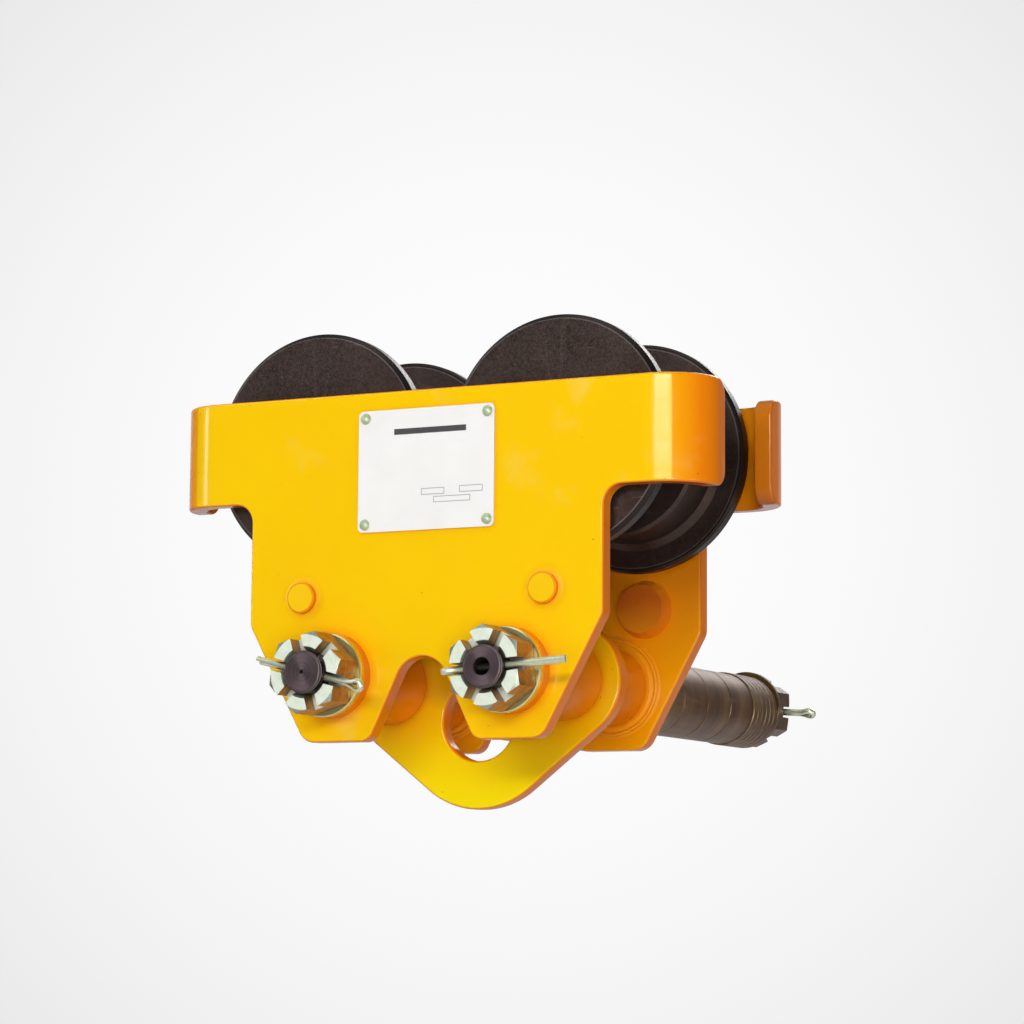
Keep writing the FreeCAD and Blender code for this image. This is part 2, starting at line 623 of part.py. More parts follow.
def suspension_shaft(name):
    """Shaft through both side plates and the hanger, cross-drilled for its split pins."""
    end = ENDS[name]
    tips = {side: NUT_BASE[side] + NUT_HEIGHT + SHAFT_PROUD for side in SIDES.values()}
    front = -tips[-1]
    rear = tips[1]
    neck = SHAFT_RADIUS - SHAFT_CHAMFER
    profile = [(0, front), (neck, front), (SHAFT_RADIUS, front + SHAFT_CHAMFER)]
    profile += [(SHAFT_RADIUS, rear - SHAFT_CHAMFER), (neck, rear), (0, rear)]
    shaft = lathe(profile, 1, end * SHAFT_X, SHAFT_Z)
    cuts = [pin_hole(side, end, PIN_ANGLES[name, side]) for side in SIDES.values()]
    radius = SHAFT_DRILL_RADIUS if name == "right" else SHAFT_CENTRE_RADIUS
    depth = SHAFT_DRILL_DEPTH if name == "right" else SHAFT_CENTRE_DEPTH
    cuts.append(rod(radius, -front - depth, -front, -1, end * SHAFT_X, SHAFT_Z))
    return shaft.cut(cuts)


def castle_nut(side, end, angle):
    """Slotted hexagon nut whose crown faces out and whose slots line up with the pin."""
    x = end * SHAFT_X
    base = NUT_BASE[side]
    crown = base + NUT_HEIGHT
    side_angle = 360 / NUT_SIDES
    corner_radius = NUT_ACROSS_FLATS / 2 / math.cos(math.radians(side_angle / 2))
    corners = []
    for index in range(NUT_SIDES):
        turn = math.radians(angle + side_angle * (index + 0.5))
        corner_z = SHAFT_Z + corner_radius * math.sin(turn)
        corners.append(vec(x + corner_radius * math.cos(turn), side * base, corner_z))
    body = prism(Part.makePolygon(corners + corners[:1]), vec(0, side * NUT_HEIGHT, 0))
    face_radius = NUT_CHAMFER_SHARE * NUT_ACROSS_FLATS / 2
    fall = (corner_radius - face_radius) * math.tan(math.radians(NUT_CHAMFER_DEG))
    bore = SHAFT_RADIUS + SEAT_GAP
    mouth = bore + NUT_BORE_CHAMFER
    cone = [(mouth, base), (face_radius, base), (corner_radius, base + fall)]
    cone += [(corner_radius, crown - fall), (face_radius, crown), (mouth, crown)]
    cone += [(bore, crown - NUT_BORE_CHAMFER), (bore, base + NUT_BORE_CHAMFER)]
    body = body.common(lathe(cone, side, x, SHAFT_Z))
    slots = []
    for index in range(NUT_SIDES // 2):
        low_y = min(side * crown, side * (crown - NUT_SLOT_DEPTH))
        corner = vec(x - NUT_ACROSS_FLATS, low_y, SHAFT_Z - NUT_SLOT_WIDTH / 2)
        slot = Part.makeBox(2 * NUT_ACROSS_FLATS, NUT_SLOT_DEPTH, NUT_SLOT_WIDTH, corner)
        slots.append(turned(slot, angle + side_angle * index, x, SHAFT_Z))
    return body.cut(slots)


def nut_washer(side, end):
    outer = NUT_WASHER_DIAMETER / 2
    start = NUT_BASE[side] - NUT_WASHER_THICKNESS
    bore = SHAFT_RADIUS + SEAT_GAP
    return tube(outer, bore, start, NUT_BASE[side], side, end * SHAFT_X, SHAFT_Z, NUT_WASHER_CHAMFER)


def pin_path(seat, tips):
    """Fold line of the half-round wire: one leg, round the eye, and back along the other."""
    gap = PIN_LEG_GAP / 2
    centre_x = seat + math.sqrt((PIN_FLARE_RADIUS + PIN_EYE_RADIUS) ** 2 - (gap + PIN_FLARE_RADIUS) ** 2)
    swing = math.atan2(centre_x - seat, gap + PIN_FLARE_RADIUS)
    edges = []
    for up in (1, -1):
        flare = vec(seat, 0, up * (gap + PIN_FLARE_RADIUS))
        ends = [vec(seat, 0, up * gap)]
        for turn in (swing / 2, swing):
            offset = vec(PIN_FLARE_RADIUS * math.sin(turn), 0, -up * PIN_FLARE_RADIUS * math.cos(turn))
            ends.append(flare + offset)
        leg = Part.LineSegment(vec(tips[up], 0, up * gap), ends[0]).toShape()
        edges.append((leg, Part.Arc(*ends).toShape(), ends[2]))
    eye = Part.Arc(edges[0][2], vec(centre_x + PIN_EYE_RADIUS, 0, 0), edges[1][2]).toShape()
    return Part.Wire([edges[0][0], edges[0][1], eye, edges[1][1], edges[1][0]])


def split_pin(name, side):
    """Half-round wire folded into an eye and two legs that fill the pin's hole."""
    eye_reach, leg_reach = PIN_REACHES[name, side]
    radius = PIN_DIAMETER / 2
    gap = PIN_LEG_GAP / 2
    reach = PIN_FLARE_RADIUS + PIN_EYE_RADIUS
    eye_length = math.sqrt(reach ** 2 - (gap + PIN_FLARE_RADIUS) ** 2) + PIN_EYE_RADIUS + radius
    seat = eye_reach - eye_length
    tips = {1: -leg_reach, -1: PIN_LEG_STEP - leg_reach}
    half = radius - gap
    ends = [vec(tips[1], -half, gap), vec(tips[1], 0, radius), vec(tips[1], half, gap)]
    section = Part.Wire([Part.Arc(*ends).toShape(), Part.LineSegment(ends[2], ends[0]).toShape()])
    pin = pin_path(seat, tips).makePipeShell([section], True, False)
    pin.rotate(vec(0, 0, 0), vec(1, 0, 0), PIN_EYE_TILTS[name, side])
    shaft_x = ENDS[name] * SHAFT_X
    pin.translate(vec(shaft_x, side * pin_out(side), SHAFT_Z))
    return turned(pin, PIN_ANGLES[name, side], shaft_x, SHAFT_Z)


def hang_drop(bore_diameter):
    """How far a loose piece hangs below the shaft's axis."""
    return bore_diameter / 2 - SHAFT_RADIUS - HANG_GAP


def inner_spacer(side, end):
    z = SHAFT_Z - hang_drop(INNER_SPACER_BORE)
    bore = INNER_SPACER_BORE / 2
    start = HANGER_THICKNESS / 2 + HANGER_PLAY + side * HANGER_SETBACK
    return tube(SPACER_DIAMETER / 2, bore, start, BUSH_IN, side, end * SHAFT_X, z, SPACER_CHAMFER)


def ring_stack(diameter, length, count, start, end):
    """Loose rings side by side on a shaft, behind the rear side plate."""
    side = SIDES["rear"]
    x = end * SHAFT_X
    z = SHAFT_Z - hang_drop(OUTER_SPACER_BORE)
    bore = OUTER_SPACER_BORE / 2
    starts = [start + index * length for index in range(count)]
    rings = [tube(diameter / 2, bore, low, low + length, side, x, z, SPACER_CHAMFER) for low in starts]
    return Part.makeCompound(rings)


def spare_spacers(end):
    return ring_stack(OUTER_SPACER_DIAMETER, OUTER_SPACER_LENGTH, OUTER_SPACER_COUNT, BUSH_OUT, end)


def spare_washers(end):
    thickness = THIN_WASHER_THICKNESS
    return ring_stack(THIN_WASHER_DIAMETER, thickness, THIN_WASHER_COUNT, OUTER_SPACERS_OUT, end)


def tangent_normal(first, second):
    """Outward normal of the line that touches two circles given as (x, z, radius)."""
    along_x = second[0] - first[0]
    along_z = second[1] - first[1]
    distance = math.hypot(along_x, along_z)
    lean = (first[2] - second[2]) / distance
    upright = math.sqrt(1 - lean ** 2)
    normal_x = (along_x * lean + along_z * upright) / distance
    normal_z = (along_z * lean - along_x * upright) / distance
    return vec(normal_x, 0, normal_z)


def wrapped_outline(circles, y):
    """Belt round three circles listed anticlockwise as seen from the front."""
    count = len(circles)
    normals = [tangent_normal(circles[i], circles[(i + 1) % count]) for i in range(count)]
    edges = []
    for index, (x, z, radius) in enumerate(circles):
        centre = vec(x, y, z)
        arriving = normals[index - 1]
        leaving = normals[index]
        middle = (arriving + leaving).normalize()
        ends = [centre + normal * radius for normal in (arriving, middle, leaving)]
        edges.append(Part.Arc(*ends).toShape())
        following = circles[(index + 1) % count]
        touch = vec(following[0], y, following[1]) + leaving * following[2]
        edges.append(Part.LineSegment(ends[2], touch).toShape())
    return Part.Wire(edges)


def hanger():
    """Load plate hung on both shafts, with the eye that carries the hoist."""
    z = SHAFT_Z - hang_drop(HANGER_BORE)
    tip_z = SHAFT_Z - HANGER_TIP_BELOW_SHAFT + HANGER_TIP_RADIUS
    circles = [
        (0, tip_z, HANGER_TIP_RADIUS),
        (SHAFT_X, z, HANGER_EYE_RADIUS),
        (-SHAFT_X, z, HANGER_EYE_RADIUS),
    ]
    blank = prism(wrapped_outline(circles, HANGER_FRONT), vec(0, HANGER_THICKNESS, 0))
    eye_z = SHAFT_Z - HOIST_EYE_BELOW_SHAFT
    eye = rod(HOIST_EYE_RADIUS, HANGER_FRONT, HANGER_BACK, 1, 0, eye_z)
    blank = soften(blank.cut(eye), HANGER_EDGE_ROUNDING)
    radius = HANGER_BORE / 2
    bores = [rod(radius, HANGER_FRONT, HANGER_BACK, 1, end * SHAFT_X, z) for end in ENDS.values()]
    return blank.cut(bores)


def save(name, shape):
    """Write one node, with every piece in it a closed solid of positive volume."""
    solids = []
    for solid in shape.Solids:
        if solid.Volume < 0:
            solid.reverse()
        solids.append(solid)
    result = solids[0] if len(solids) == 1 else Part.makeCompound(solids)
    result.exportStep(os.path.join("parts", name + ".step"))


def save_frame():
    for side_name, side in SIDES.items():
        bushes = [shaft_bush(side, end) for end in ENDS.values()]
        studs = [stop_stud(side, end) for end in ENDS.values()]
        spacers = [inner_spacer(side, end) for end in ENDS.values()]
        save(side_name + "_side_plate", side_plate(side))
        save(side_name + "_shaft_bushes", Part.makeCompound(bushes))
        save(side_name + "_stop_studs", Part.makeCompound(studs))
        save(side_name + "_inner_spacers", Part.makeCompound(spacers))
    save("nameplate", nameplate())
    save("nameplate_rivets", Part.makeCompound([nameplate_rivet(x, z) for x, z in rivet_centres()]))
    for end_name, end in ENDS.items():
        save(end_name + "_spare_spacers", spare_spacers(end))
        save(end_name + "_spare_washers", spare_washers(end))


def save_shafts():
    for end_name, end in ENDS.items():
        sides = SIDES.values()
        nuts = [castle_nut(side, end, PIN_ANGLES[end_name, side]) for side in sides]
        washers = [nut_washer(side, end) for side in sides]
        pins = [split_pin(end_name, side) for side in sides]
        save(end_name + "_suspension_shaft", suspension_shaft(end_name))
        save(end_name + "_castle_nuts", Part.makeCompound(nuts))
        save(end_name + "_nut_washers", Part.makeCompound(washers))
        save(end_name + "_split_pins", Part.makeCompound(pins))


def save_wheels():
    makers = {
        "wheel": wheel,
        "axle": axle,
        "bearing_inner_ring": bearing_inner_ring,
        "bearing_outer_ring": bearing_outer_ring,
        "bearing_balls": bearing_balls,
        "bearing_cage": bearing_cage,
        "bearing_shields": bearing_shields,
        "axle_circlip": axle_circlip,
        "bore_circlip": bore_circlip,
    }
    for side_name, side in SIDES.items():
        for end_name, end in ENDS.items():
            for piece_name, maker in makers.items():
                save("_".join((side_name, end_name, piece_name)), maker(side, end))


os.makedirs("parts", exist_ok=True)
save_frame()
save_shafts()
save_wheels()
save("hanger", hanger())
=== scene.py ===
import json
import math

import bmesh
import bpy
from mathutils import Matrix, Vector, noise


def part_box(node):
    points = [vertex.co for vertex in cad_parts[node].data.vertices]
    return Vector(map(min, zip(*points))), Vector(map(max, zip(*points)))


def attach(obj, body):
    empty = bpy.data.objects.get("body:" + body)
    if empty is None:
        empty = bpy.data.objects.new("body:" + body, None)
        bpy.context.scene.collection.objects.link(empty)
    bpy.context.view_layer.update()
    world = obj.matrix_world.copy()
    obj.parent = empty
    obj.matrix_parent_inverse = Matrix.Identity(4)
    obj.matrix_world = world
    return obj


# Looks of a push trolley, in metres. The front side plate is at -Y, and Z is up.
# "Out" is a distance from the middle plane, along Y. Colours are linear, and a texture's
# scale is in features to the metre.

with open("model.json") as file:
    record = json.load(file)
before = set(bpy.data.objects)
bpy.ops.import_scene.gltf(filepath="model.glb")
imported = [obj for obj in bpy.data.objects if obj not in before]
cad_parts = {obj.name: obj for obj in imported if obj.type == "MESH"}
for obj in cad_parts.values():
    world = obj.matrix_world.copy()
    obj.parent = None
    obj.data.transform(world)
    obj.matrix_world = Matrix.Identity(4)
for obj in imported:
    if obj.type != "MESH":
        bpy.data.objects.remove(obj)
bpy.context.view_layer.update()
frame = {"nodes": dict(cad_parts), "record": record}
scene = bpy.context.scene

# Camera, solved from the outlines of the part
CAMERA_PLACE = Vector((0.6944, -1.3661, -0.17965))
CAMERA_TURN = math.radians(26.40)
CAMERA_RISE = math.radians(7.23)
CAMERA_ROLL = math.radians(0.42)
CAMERA_LENS = 112.41
CAMERA_NEAR = 0.05
CAMERA_FAR = 50
SENSOR_WIDTH = 36.0

# Floor
FLOOR_Z = -0.6
FLOOR_RADIUS = 6.0
FLOOR_SIDES = 96
FLOOR_FADE_START = 1.2
FLOOR_FADE_END = 5.5
FLOOR_LIGHT = (0.86, 0.86, 0.86)
FLOOR_DARK = (0.83, 0.83, 0.83)
FLOOR_BOUNCE = (0.30, 0.17, 0.08)

# Surroundings
BACKDROP_BRIGHT = (0.97, 0.97, 0.975)
BACKDROP_EDGE = (0.81, 0.81, 0.815)
BACKDROP_MIDDLE = math.cos(math.radians(4.0))
BACKDROP_RIM = math.cos(math.radians(13.0))
ROOM_DIMMING = 0.12
ROOM_DIM_UNTIL = 0.60
ROOM_BRIGHT_FROM = 0.97
WHITE = (1.0, 1.0, 1.0)
AMBIENT = (0.13, 0.125, 0.12)
WARM_LIGHT = (1.0, 0.86, 0.72)

# Paint
PAINT_GLOSS = 0.3
PAINT_ROUGHNESS = 0.15
# How strongly inward faces take the painted shade near the wheels
PAINT_WHEEL_SHADE_AMOUNT = 0.8
PAINT_YELLOW = (0.945, 0.600, 0.0012)
PAINT_SHADE = (0.93, 0.575, 0.001)
# Painted light: paler lemon on the hanger's tip, as if lit from below
PAINT_TIP_LIGHT = (0.97, 0.82, 0.002)
# Painted shade: deeper orange on edges and bends that turn away from the front
PAINT_BEND_SHADE = (0.91, 0.25, 0.001)
# Painted shade: deeper orange on faces turned towards the beam, between the plates
PAINT_INNER_SHADE = (0.95, 0.40, 0.002)
# Painted shade: red-brown on inward faces towards the wheels, which shade them
PAINT_WHEEL_SHADE = (0.45, 0.10, 0.008)
# Painted shade: orange near bushes and nuts, and deep orange in tight corners
PAINT_CORNER_SHADE = (0.93, 0.33, 0.002)
PAINT_CREVICE_SHADE = (0.70, 0.17, 0.001)
PAINT_SPECK = (0.10, 0.05, 0.01)
PAINT_CHALK = (0.92, 0.80, 0.42)
CORNER_SHADE_REACH = 0.022
CREVICE_SHADE_REACH = 0.005
# Share of the way from the hanger's tip to the shafts over which the painted light fades
TIP_LIGHT_SHARE = 0.6

# How squarely a face looks outwards where the painted shade of a bend sets in, and how fast
BEND_BREAK = 0.885
BEND_BREAK_WIDTH = 0.012

# Metal
# Painted shade: near black in the corners and recesses of metal parts
RECESS_SHADE = (0.02, 0.014, 0.01)
TURNED_RINGS = 900.0
THREAD_PITCH = 0.0025
THREAD_DEPTH = 0.00045
THREAD_BEYOND_PLATE = 0.008
AXLE_PAINT_DEPTH = 0.0006
EDGE_BLUR = 0.0002

# Sizes that the CAD source gives
WHEEL_RIM_CHAMFER = 0.0022
WHEEL_PLATE_GAP = 0.0027

# Weld beads
WELD_STEPS = 150
WELD_SECTION_POINTS = 8
WELD_BEAD_RADIUS = 0.0011
WELD_RIPPLES = 46
WELD_RIPPLE_SHARE = 0.20
WELD_UNEVEN_SHARE = 0.12
WELD_INSET = 0.0019
WELD_WANDER = 0.0004
WELD_WANDER_SCALE = 2
WELD_SEED_SCALE = 90
SIDE_NAMES = {-1: "front", 1: "rear"}

# Print on the nameplate; each area is left, bottom, right and top, in shares of the plate
PRINT_RISE = 0.00005
PRINT_LINE = 0.0003
PRINT_BOXES = (
    (0.47, 0.284, 0.64, 0.338),
    (0.75, 0.290, 0.92, 0.344),
    (0.56, 0.218, 0.83, 0.268),
)
PRINT_BAND = (0.265, 0.790, 0.796, 0.838)
PRINT_DARK_ABOVE = 0.6
PRINT_GREY = (0.34, 0.34, 0.36)

# Most of a noise texture lies between these values
MOST_NOISE = (0.3, 0.7)

# The solid share of a speck, and where the choice of cells that get one sets in
SPECK_CORE = 0.6
SPECK_CHOICE = (0.80, 0.82)


def middle_of(node):
    """Middle of a node's box."""
    low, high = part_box(node)
    return (low + high) / 2


def way_to(turn, rise):
    """Direction from the part, by its angle from the front towards +X and its angle up."""
    return Vector((
        math.sin(turn) * math.cos(rise),
        -math.cos(turn) * math.cos(rise),
        math.sin(rise),
    ))


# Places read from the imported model
WHEEL_MIDDLE = middle_of("front_right_wheel")
SHAFT_MIDDLE = middle_of("right_suspension_shaft")
WHEEL_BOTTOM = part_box("front_right_wheel")[0].z
WHEEL_OUT = -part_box("front_right_wheel")[0].y
WHEEL_FACE_RADIUS = WHEEL_MIDDLE.z - WHEEL_BOTTOM - WHEEL_RIM_CHAMFER
PLATE_IN = WHEEL_OUT + WHEEL_PLATE_GAP
PLATE_OUT = -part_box("nameplate")[1].y
HANGER_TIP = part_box("hanger")[0].z

# Which way the camera looks
CAMERA_AHEAD = -way_to(CAMERA_TURN, -CAMERA_RISE)


class Graph:
    """A node graph, built from short calls."""

    def __init__(self, tree):
        self.tree = tree

    def node(self, kind, **settings):
        """Add a node with some of its settings."""
        made = self.tree.nodes.new(kind)
        for key, value in settings.items():
            setattr(made, key, value)
        return made

    def put(self, socket, value):
        """Link a socket, or set a constant."""
        if isinstance(value, bpy.types.NodeSocket):
            self.tree.links.new(value, socket)
        elif isinstance(value, tuple) and len(value) == 3 and socket.type == "RGBA":
            socket.default_value = (*value, 1.0)
        else:
            socket.default_value = value

    def put_all(self, sockets, values):
        """Link or set a node's first sockets in turn."""
        for socket, value in zip(sockets, values):
            self.put(socket, value)

    def math(self, operation, *values):
        """Work on one or two numbers."""
        made = self.node("ShaderNodeMath", operation=operation)
        self.put_all(made.inputs, values)
        return made.outputs[0]

    def times(self, first, second):
        """Product of two numbers."""
        return self.math("MULTIPLY", first, second)

    def plus(self, first, second):
        """Sum of two numbers."""
        return self.math("ADD", first, second)

    def minus(self, first, second):
        """Difference of two numbers."""
        return self.math("SUBTRACT", first, second)

    def magnitude(self, value):
        """The number without its sign."""
        return self.math("ABSOLUTE", value)

    def vector_math(self, operation, *vectors):
        """Work on one or two vectors. The result is both a vector and a number."""
        made = self.node("ShaderNodeVectorMath", operation=operation)
        self.put_all(made.inputs, vectors)
        return made.outputs

    def band(self, value, low, high, from_value=0.0, to_value=1.0):
        """Ramp from one value to another as the input goes from low to high."""
        made = self.node("ShaderNodeMapRange", clamp=True)
        self.put_all(made.inputs, (value, low, high, from_value, to_value))
        return made.outputs[0]

    def between(self, mask, at_zero, at_one):
        """One number where a mask is 0, and another where it is 1."""
        return self.band(mask, 0.0, 1.0, at_zero, at_one)

    def blend(self, factor, first, second, mode="MIX"):
        """Mix two colours."""
        made = self.node("ShaderNodeMix", data_type="RGBA", blend_type=mode)
        self.put(made.inputs[0], factor)
        self.put(made.inputs[6], first)
        self.put(made.inputs[7], second)
        return made.outputs[2]

    def ramp(self, value, low, high, first, second, most=1.0):
        """Turn one colour into another as the input goes from low to high."""
        return self.blend(self.band(value, low, high, 0.0, most), first, second)

    def mix_shaders(self, factor, first, second):
        """Mix two shaders."""
        made = self.node("ShaderNodeMixShader")
        self.put_all(made.inputs, (factor, first, second))
        return made.outputs[0]

    def seen_directly(self):
        """1 for camera, glossy and transmission rays, and 0 for the rest."""
        path = self.node("ShaderNodeLightPath").outputs
        total = path["Is Camera Ray"]
        for name in ("Is Glossy Ray", "Is Transmission Ray"):
            total = self.math("MAXIMUM", total, path[name])
        return total


class Material(Graph):
    """A material's node graph, with its bump layers."""

    def __init__(self, name):
        self.material = bpy.data.materials.new(name)
        self.material.use_nodes = True
        super().__init__(self.material.node_tree)
        self.shader = self.tree.nodes["Principled BSDF"]
        coordinates = self.node("ShaderNodeTexCoord").outputs
        self.place = coordinates["Object"]
        self.normal = coordinates["Normal"]
        self.bump_normal = None

    def parts(self, vector):
        """The X, Y and Z of a vector."""
        made = self.node("ShaderNodeSeparateXYZ")
        self.put(made.inputs[0], vector)
        return made.outputs

    def along(self):
        """How far along Y, with the front side below 0."""
        return self.parts(self.place)[1]

    def height(self):
        """How far along Z."""
        return self.parts(self.place)[2]

    def from_axis(self, centre):
        """Distance from, and angle round, a line along Y that both ends of the part share."""
        x, _, z = self.parts(self.place)
        across = self.minus(self.magnitude(x), centre.x)
        up = self.minus(z, centre.z)
        square = self.plus(self.times(across, across), self.times(up, up))
        return self.math("SQRT", square), self.math("ARCTAN2", up, across)

    def facing_along(self):
        """1 on faces square to Y and 0 on faces along it."""
        return self.magnitude(self.parts(self.normal)[1])

    def facing_out(self):
        """1 on faces turned away from the beam, 0 on edges and -1 on faces turned towards it."""
        return self.times(self.math("SIGN", self.along()), self.parts(self.normal)[1])

    def noise(self, scale, detail=2.0, roughness=0.5, stretch=None):
        """Cloudy noise, which can be finer along some axes."""
        made = self.node("ShaderNodeTexNoise")
        place = self.place
        if stretch:
            place = self.vector_math("MULTIPLY", place, stretch)[0]
        self.put(made.inputs["Vector"], place)
        self.put(made.inputs["Scale"], scale)
        self.put(made.inputs["Detail"], detail)
        self.put(made.inputs["Roughness"], roughness)
        return made.outputs["Fac"]

    def noise_line(self, value, scale, detail):
        """Noise that varies along one number only."""
        made = self.node("ShaderNodeTexNoise", noise_dimensions="1D")
        self.put(made.inputs["W"], value)
        self.put(made.inputs["Scale"], scale)
        self.put(made.inputs["Detail"], detail)
        return made.outputs["Fac"]

    def specks(self, scale, size):
        """Round dots in about one cell of five: 1 in a dot and 0 elsewhere."""
        made = self.node("ShaderNodeTexVoronoi")
        self.put(made.inputs["Vector"], self.place)
        self.put(made.inputs["Scale"], scale)
        dots = self.band(made.outputs["Distance"], size * SPECK_CORE, size, 1.0, 0.0)
        pick = self.node("ShaderNodeSeparateColor")
        self.put(pick.inputs[0], made.outputs["Color"])
        return self.times(dots, self.band(pick.outputs[0], *SPECK_CHOICE))

    def cover(self, tint, colour, mask, amount):
        """Lay a colour over another where a mask is 1, as thickly as the amount says."""
        return self.blend(self.times(mask, amount), tint, colour)

    def shade_in_corners(self, tint, colour, reach, amount):
        """Painted shade: lay a darker colour over another deep in corners, within a reach in
        metres.
        """
        made = self.node("ShaderNodeAmbientOcclusion", samples=8)
        self.put(made.inputs["Distance"], reach)
        return self.cover(tint, colour, self.minus(1.0, made.outputs["AO"]), amount)

    def bump(self, height, depth):
        """Add a bump layer, with the depth in metres."""
        made = self.node("ShaderNodeBump")
        self.put(made.inputs["Distance"], depth)
        self.put(made.inputs["Height"], height)
        if self.bump_normal:
            self.put(made.inputs["Normal"], self.bump_normal)
        self.bump_normal = made.outputs[0]

    def surface(self, colour, metallic, roughness, **others):
        """Finish the shader and hand over the material."""
        self.put(self.shader.inputs["Base Color"], colour)
        self.put(self.shader.inputs["Metallic"], metallic)
        self.put(self.shader.inputs["Roughness"], roughness)
        for name, value in others.items():
            self.put(self.shader.inputs[name.replace("_", " ")], value)
        if self.bump_normal:
            self.put(self.shader.inputs["Normal"], self.bump_normal)
        return self.material


def paint_coat(graph, colour, shade, roughness, wheel_shade_amount=PAINT_WHEEL_SHADE_AMOUNT):
    """Sprayed enamel with painted shade on edges, bends, inward faces and corners, and towards
    the wheels.
    """
    tint = graph.ramp(graph.noise(14.0, 3.0), 0.35, 0.7, colour, shade)
    out = graph.facing_out()
    # Painted shade: edges and bends, turned away from the front light, become deeper orange
    bent = graph.band(out, BEND_BREAK, BEND_BREAK + BEND_BREAK_WIDTH, 1.0, 0.0)
    bend_shade = graph.times(bent, graph.band(out, 0.5, BEND_BREAK, 1.0, 0.6))
    tint = graph.blend(bend_shade, tint, PAINT_BEND_SHADE)
    # Painted shade: faces turned towards the beam become deeper orange
    inner_shade = graph.band(out, -0.6, -0.2, 1.0, 0.0)
    tint = graph.blend(inner_shade, tint, PAINT_INNER_SHADE)
    # Painted shade: inward faces darken towards the wheels above them
    wheel_shade = graph.band(graph.height(), SHAFT_MIDDLE.z, WHEEL_BOTTOM, 0.0, wheel_shade_amount)
    turned_in = graph.band(out, -0.2, 0.1, 1.0, 0.0)
    tint = graph.blend(graph.times(turned_in, wheel_shade), tint, PAINT_WHEEL_SHADE)
    # Painted shade: soft orange near bushes and nuts, deeper orange in tight corners
    tint = graph.shade_in_corners(tint, PAINT_CORNER_SHADE, CORNER_SHADE_REACH, 0.9)
    tint = graph.shade_in_corners(tint, PAINT_CREVICE_SHADE, CREVICE_SHADE_REACH, 0.8)
    specks = graph.specks(170.0, 0.07)
    tint = graph.cover(tint, PAINT_SPECK, specks, 0.75)
    smudge_area = graph.band(graph.noise(22.0, 4.0, 0.6), 0.60, 0.72)
    smudge = graph.times(smudge_area, graph.noise(160.0, 4.0, 0.7))
    tint = graph.cover(tint, PAINT_CHALK, smudge, 0.22)
    smears = graph.noise(60.0, 4.0)
    rough = graph.band(smears, 0.3, 0.75, roughness - 0.03, roughness + 0.07)
    graph.bump(graph.noise(420.0), 0.00002)
    graph.bump(graph.noise(45.0), 0.0002)
    graph.bump(specks, 0.0001)
    return tint, rough


def paint(name, colour, shade, roughness=PAINT_ROUGHNESS, wheel_shade_amount=PAINT_WHEEL_SHADE_AMOUNT):
    """Painted steel."""
    graph = Material(name)
    tint, rough = paint_coat(graph, colour, shade, roughness, wheel_shade_amount)
    return graph.surface(tint, 0.0, rough, Specular_IOR_Level=PAINT_GLOSS)


def hanger_enamel(name):
    """Plate enamel with painted light: paler lemon towards the hanger's tip, where light from
    below falls.
    """
    graph = Material(name)
    plain = HANGER_TIP + TIP_LIGHT_SHARE * (SHAFT_MIDDLE.z - HANGER_TIP)
    # Painted light: the hanger turns paler lemon towards its tip
    tip_light = graph.band(graph.height(), HANGER_TIP, plain, 1.0, 0.0)
    colour = graph.blend(tip_light, PAINT_YELLOW, PAINT_TIP_LIGHT)
    tint, rough = paint_coat(graph, colour, colour, 0.17)
    return graph.surface(tint, 0.0, rough, Specular_IOR_Level=PAINT_GLOSS)


def nameplate_lacquer(name):
    """Pale, slightly wavy lacquer with painted shade in its corners."""
    graph = Material(name)
    cloud = graph.noise(60.0, 3.0)
    tint = graph.ramp(cloud, *MOST_NOISE, (0.90, 0.925, 0.93), (0.86, 0.885, 0.89))
    # Painted shade in the corners
    tint = graph.shade_in_corners(tint, (0.30, 0.27, 0.22), 0.003, 0.6)
    rough = graph.band(graph.noise(300.0, 3.0), *MOST_NOISE, 0.28, 0.42)
    graph.bump(graph.noise(500.0), 0.00003)
    graph.bump(graph.noise(30.0, 1.0), 0.0003)
    return graph.surface(tint, 0.0, rough)


def bearing_metal(name, light, dark, roughness):
    """Lathe-turned metal with rings round the wheel's axis."""
    graph = Material(name)
    radius, _ = graph.from_axis(WHEEL_MIDDLE)
    face_rings = graph.noise_line(radius, TURNED_RINGS, 3.0)
    side_rings = graph.noise_line(graph.along(), TURNED_RINGS, 3.0)
    groove = graph.between(graph.facing_along(), side_rings, face_rings)
    cloud = graph.noise(70.0, 4.0, 0.6)
    mixed = graph.plus(graph.times(groove, 0.6), graph.times(cloud, 0.4))
    tint = graph.ramp(mixed, 0.35, 0.65, dark, light)
    # Painted shade in corners
    tint = graph.shade_in_corners(tint, RECESS_SHADE, 0.004, 0.7)
    rough = graph.band(mixed, *MOST_NOISE, roughness + 0.08, roughness - 0.06)
    graph.bump(groove, 0.00003)
    return graph.surface(tint, 1.0, rough)


